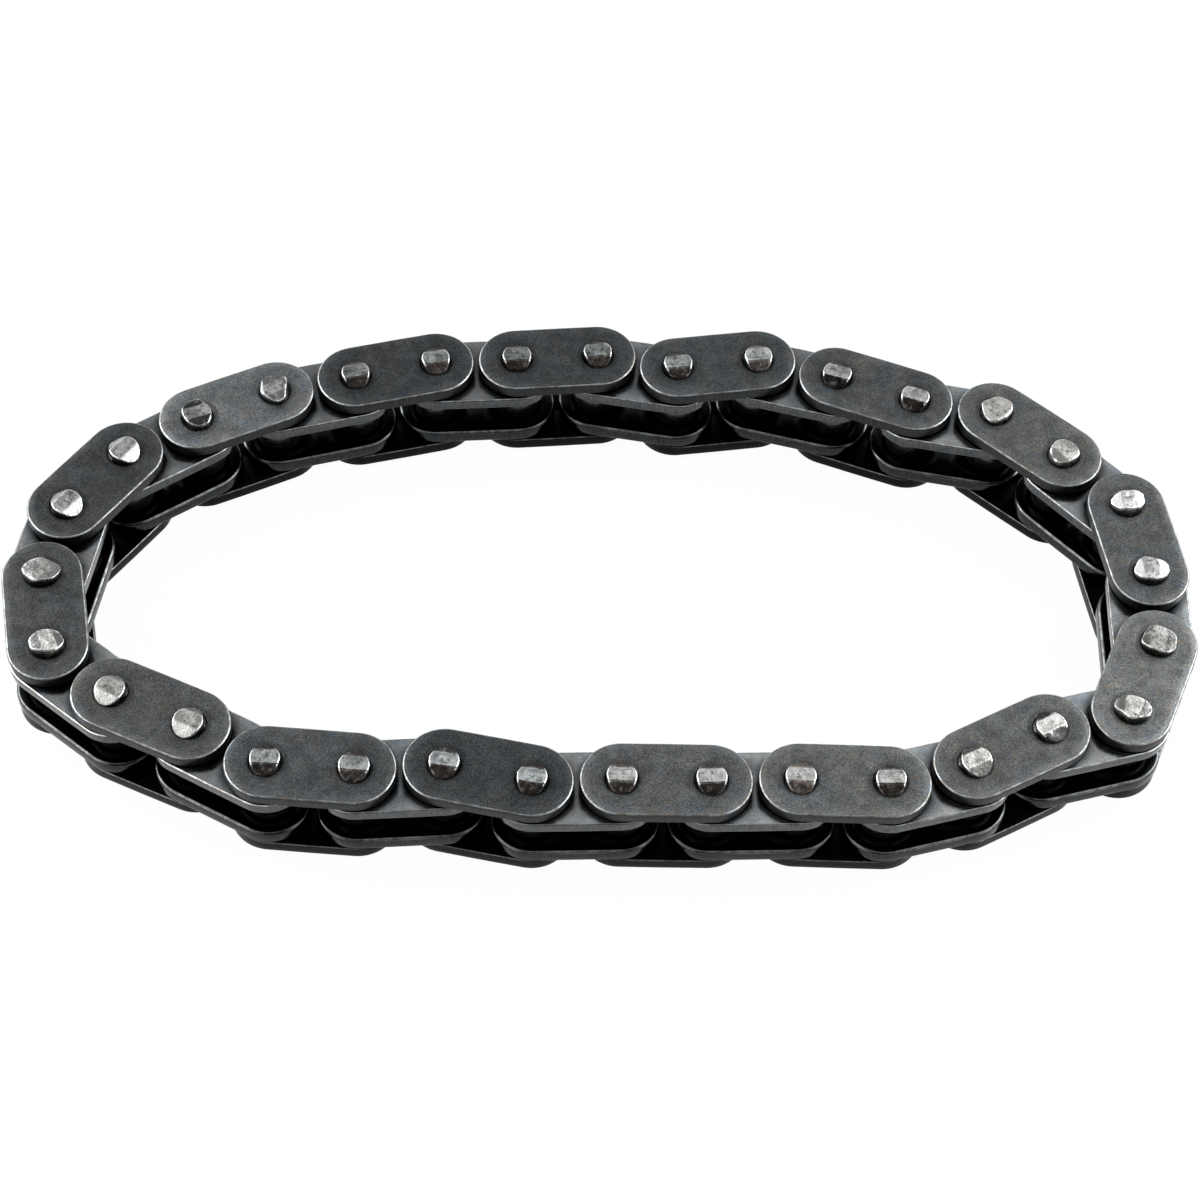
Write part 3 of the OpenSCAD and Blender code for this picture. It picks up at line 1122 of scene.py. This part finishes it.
class CHAIN_OT_stage(bpy.types.Operator):
    """Lays the floor, lights the chain and sets the camera"""

    bl_idname = "chain.stage"
    bl_label = "Stage"

    FLOOR_SIZE = 8.0
    LAMP_SIDE = 0.55
    LAMP_PLACES = ((-0.62, 0.16, 0.30), (0.62, 0.16, 0.30))
    LAMP_COLOUR = (0.93, 0.97, 1.0)
    # The dark opening in front: the angles at which each side of it begins, and at which it is full
    OPENING_LEFT = (radians(-34), radians(-20))
    OPENING_RIGHT = (radians(54), radians(40))
    OPENING_LOW = (radians(-4), radians(8))
    OPENING_HIGH = (radians(72), radians(52))
    # Where the camera looks: to the right of the loop's middle, and in front of it
    AIM = (0.12 * MM, -5.95 * MM)

    def execute(self, context):
        settings = context.scene.chain_stage
        self.make_floor(settings)
        self.make_world(context.scene, settings)
        for number, place in enumerate(self.LAMP_PLACES, 1):
            self.make_lamp(f"side lamp {number}", Vector(place), settings.lamp_level)
        self.make_camera(context.scene, settings)
        context.scene.view_settings.view_transform = "Standard"
        return {"FINISHED"}

    def make_floor(self, settings):
        bm = bmesh.new()
        bmesh.ops.create_grid(bm, x_segments=8, y_segments=8, size=self.FLOOR_SIZE / 2)
        mesh = bpy.data.meshes.new("floor")
        bm.to_mesh(mesh)
        bm.free()
        floor = bpy.data.objects.new("floor", mesh)
        bpy.context.scene.collection.objects.link(floor)
        material = bpy.data.materials.new("pale floor")
        material.use_nodes = True
        sheet = Sheet(material.node_tree)
        shader = material.node_tree.nodes["Principled BSDF"]
        shader.inputs["Base Color"].default_value = colour(settings.floor_colour)
        shader.inputs["Roughness"].default_value = 0.9
        shader.inputs["Specular IOR Level"].default_value = 0.0
        # the paper looks white, with a part of the chain's shadow kept
        path = sheet.node("ShaderNodeLightPath").outputs
        seen = sheet.math("MAXIMUM", path["Is Camera Ray"], path["Is Glossy Ray"])
        seen = sheet.math("MAXIMUM", seen, path["Is Transmission Ray"])
        white = sheet.node("ShaderNodeEmission", {"Color": (1, 1, 1, 1), "Strength": 1.0}).outputs[0]
        share = sheet.times(seen, settings.paper_white)
        mixed = sheet.node("ShaderNodeMixShader", {0: share, 1: shader.outputs[0], 2: white})
        output = material.node_tree.nodes["Material Output"]
        sheet.feed(output.inputs["Surface"], mixed.outputs[0])
        mesh.materials.append(material)

    def make_world(self, scene, settings):
        """A pale tent with a dark opening in front, where the camera stands."""
        world = bpy.data.worlds.new("pale tent")
        scene.world = world
        world.use_nodes = True
        sheet = Sheet(world.node_tree)
        x, y, z = sheet.separate(sheet.node("ShaderNodeTexCoord").outputs["Generated"])
        turn = sheet.math("ARCTAN2", x, sheet.times(y, -1.0))
        rise = sheet.math("ARCSINE", z)
        across = sheet.times(sheet.ramp(turn, *self.OPENING_LEFT), sheet.ramp(turn, *self.OPENING_RIGHT))
        upward = sheet.times(sheet.ramp(rise, *self.OPENING_LOW), sheet.ramp(rise, *self.OPENING_HIGH))
        opening = sheet.times(across, upward)
        # paler towards the sides
        sides = sheet.ramp(sheet.math("ABSOLUTE", x), 0.26, 0.70, 1.0, 2.1)
        tent = sheet.times(sides, settings.world_level)
        darker = sheet.times(opening, sheet.minus(settings.front_level, tent))
        back = world.node_tree.nodes["Background"]
        back.inputs["Color"].default_value = (1, 1, 1, 1)
        sheet.feed(back.inputs["Strength"], sheet.plus(tent, darker))

    def make_lamp(self, name, place, power):
        """A square lamp that shines at the loop's middle."""
        data = bpy.data.lights.new(name, "AREA")
        data.shape = "SQUARE"
        data.size = self.LAMP_SIDE
        data.energy = power
        data.color = self.LAMP_COLOUR
        lamp = bpy.data.objects.new(name, data)
        lamp.matrix_world = Matrix.Translation(place) @ place.to_track_quat("Z", "Y").to_matrix().to_4x4()
        bpy.context.scene.collection.objects.link(lamp)

    def make_camera(self, scene, settings):
        """Looks at the top of the outer plates, a little in front of the loop's middle."""
        link = outer_link(1)
        target = Vector((*self.AIM, link.middle.z + link.half_height))
        rise = settings.elevation
        place = target + settings.distance * Vector((0, -cos(rise), sin(rise)))
        data = bpy.data.cameras.new("camera")
        data.lens = settings.lens
        data.clip_start = 0.01
        camera = bpy.data.objects.new("camera", data)
        camera.matrix_world = (Matrix.Translation(place) @ Matrix.Rotation(pi / 2 - rise, 4, "X")
                               @ Matrix.Rotation(settings.roll, 4, "Z"))
        scene.collection.objects.link(camera)
        scene.camera = camera


class CHAIN_PT_panel(bpy.types.Panel):
    """Lists the pieces of the chain and its stage"""

    bl_idname = "CHAIN_PT_panel"
    bl_label = "Cam Chain"
    bl_space_type = "VIEW_3D"
    bl_region_type = "UI"
    bl_category = "Cam Chain"

    def draw(self, context):
        for operator in OPERATORS:
            self.layout.operator(operator.bl_idname)
        for label, settings in SETTINGS.items():
            group = getattr(context.scene, label)
            box = self.layout.box()
            for name in settings.__annotations__:
                box.prop(group, name)


OPERATORS = (CHAIN_OT_outer_plates, CHAIN_OT_pins, CHAIN_OT_inner_links, CHAIN_OT_stage)
SETTINGS = {"chain_plates": PlateSizes, "chain_pins": PinSizes,
            "chain_steels": SteelColours, "chain_stage": StageSettings}
CLASSES = (*SETTINGS.values(), *OPERATORS, CHAIN_PT_panel)


def register():
    for item in CLASSES:
        bpy.utils.register_class(item)
    for label, settings in SETTINGS.items():
        setattr(bpy.types.Scene, label, bpy.props.PointerProperty(type=settings))


def unregister():
    for label in SETTINGS:
        delattr(bpy.types.Scene, label)
    for item in reversed(CLASSES):
        bpy.utils.unregister_class(item)


def main():
    register()
    bpy.ops.chain.stage()
    bpy.ops.chain.outer_plates()
    bpy.ops.chain.pins()
    bpy.ops.chain.inner_links()


if __name__ == "__main__":
    main()
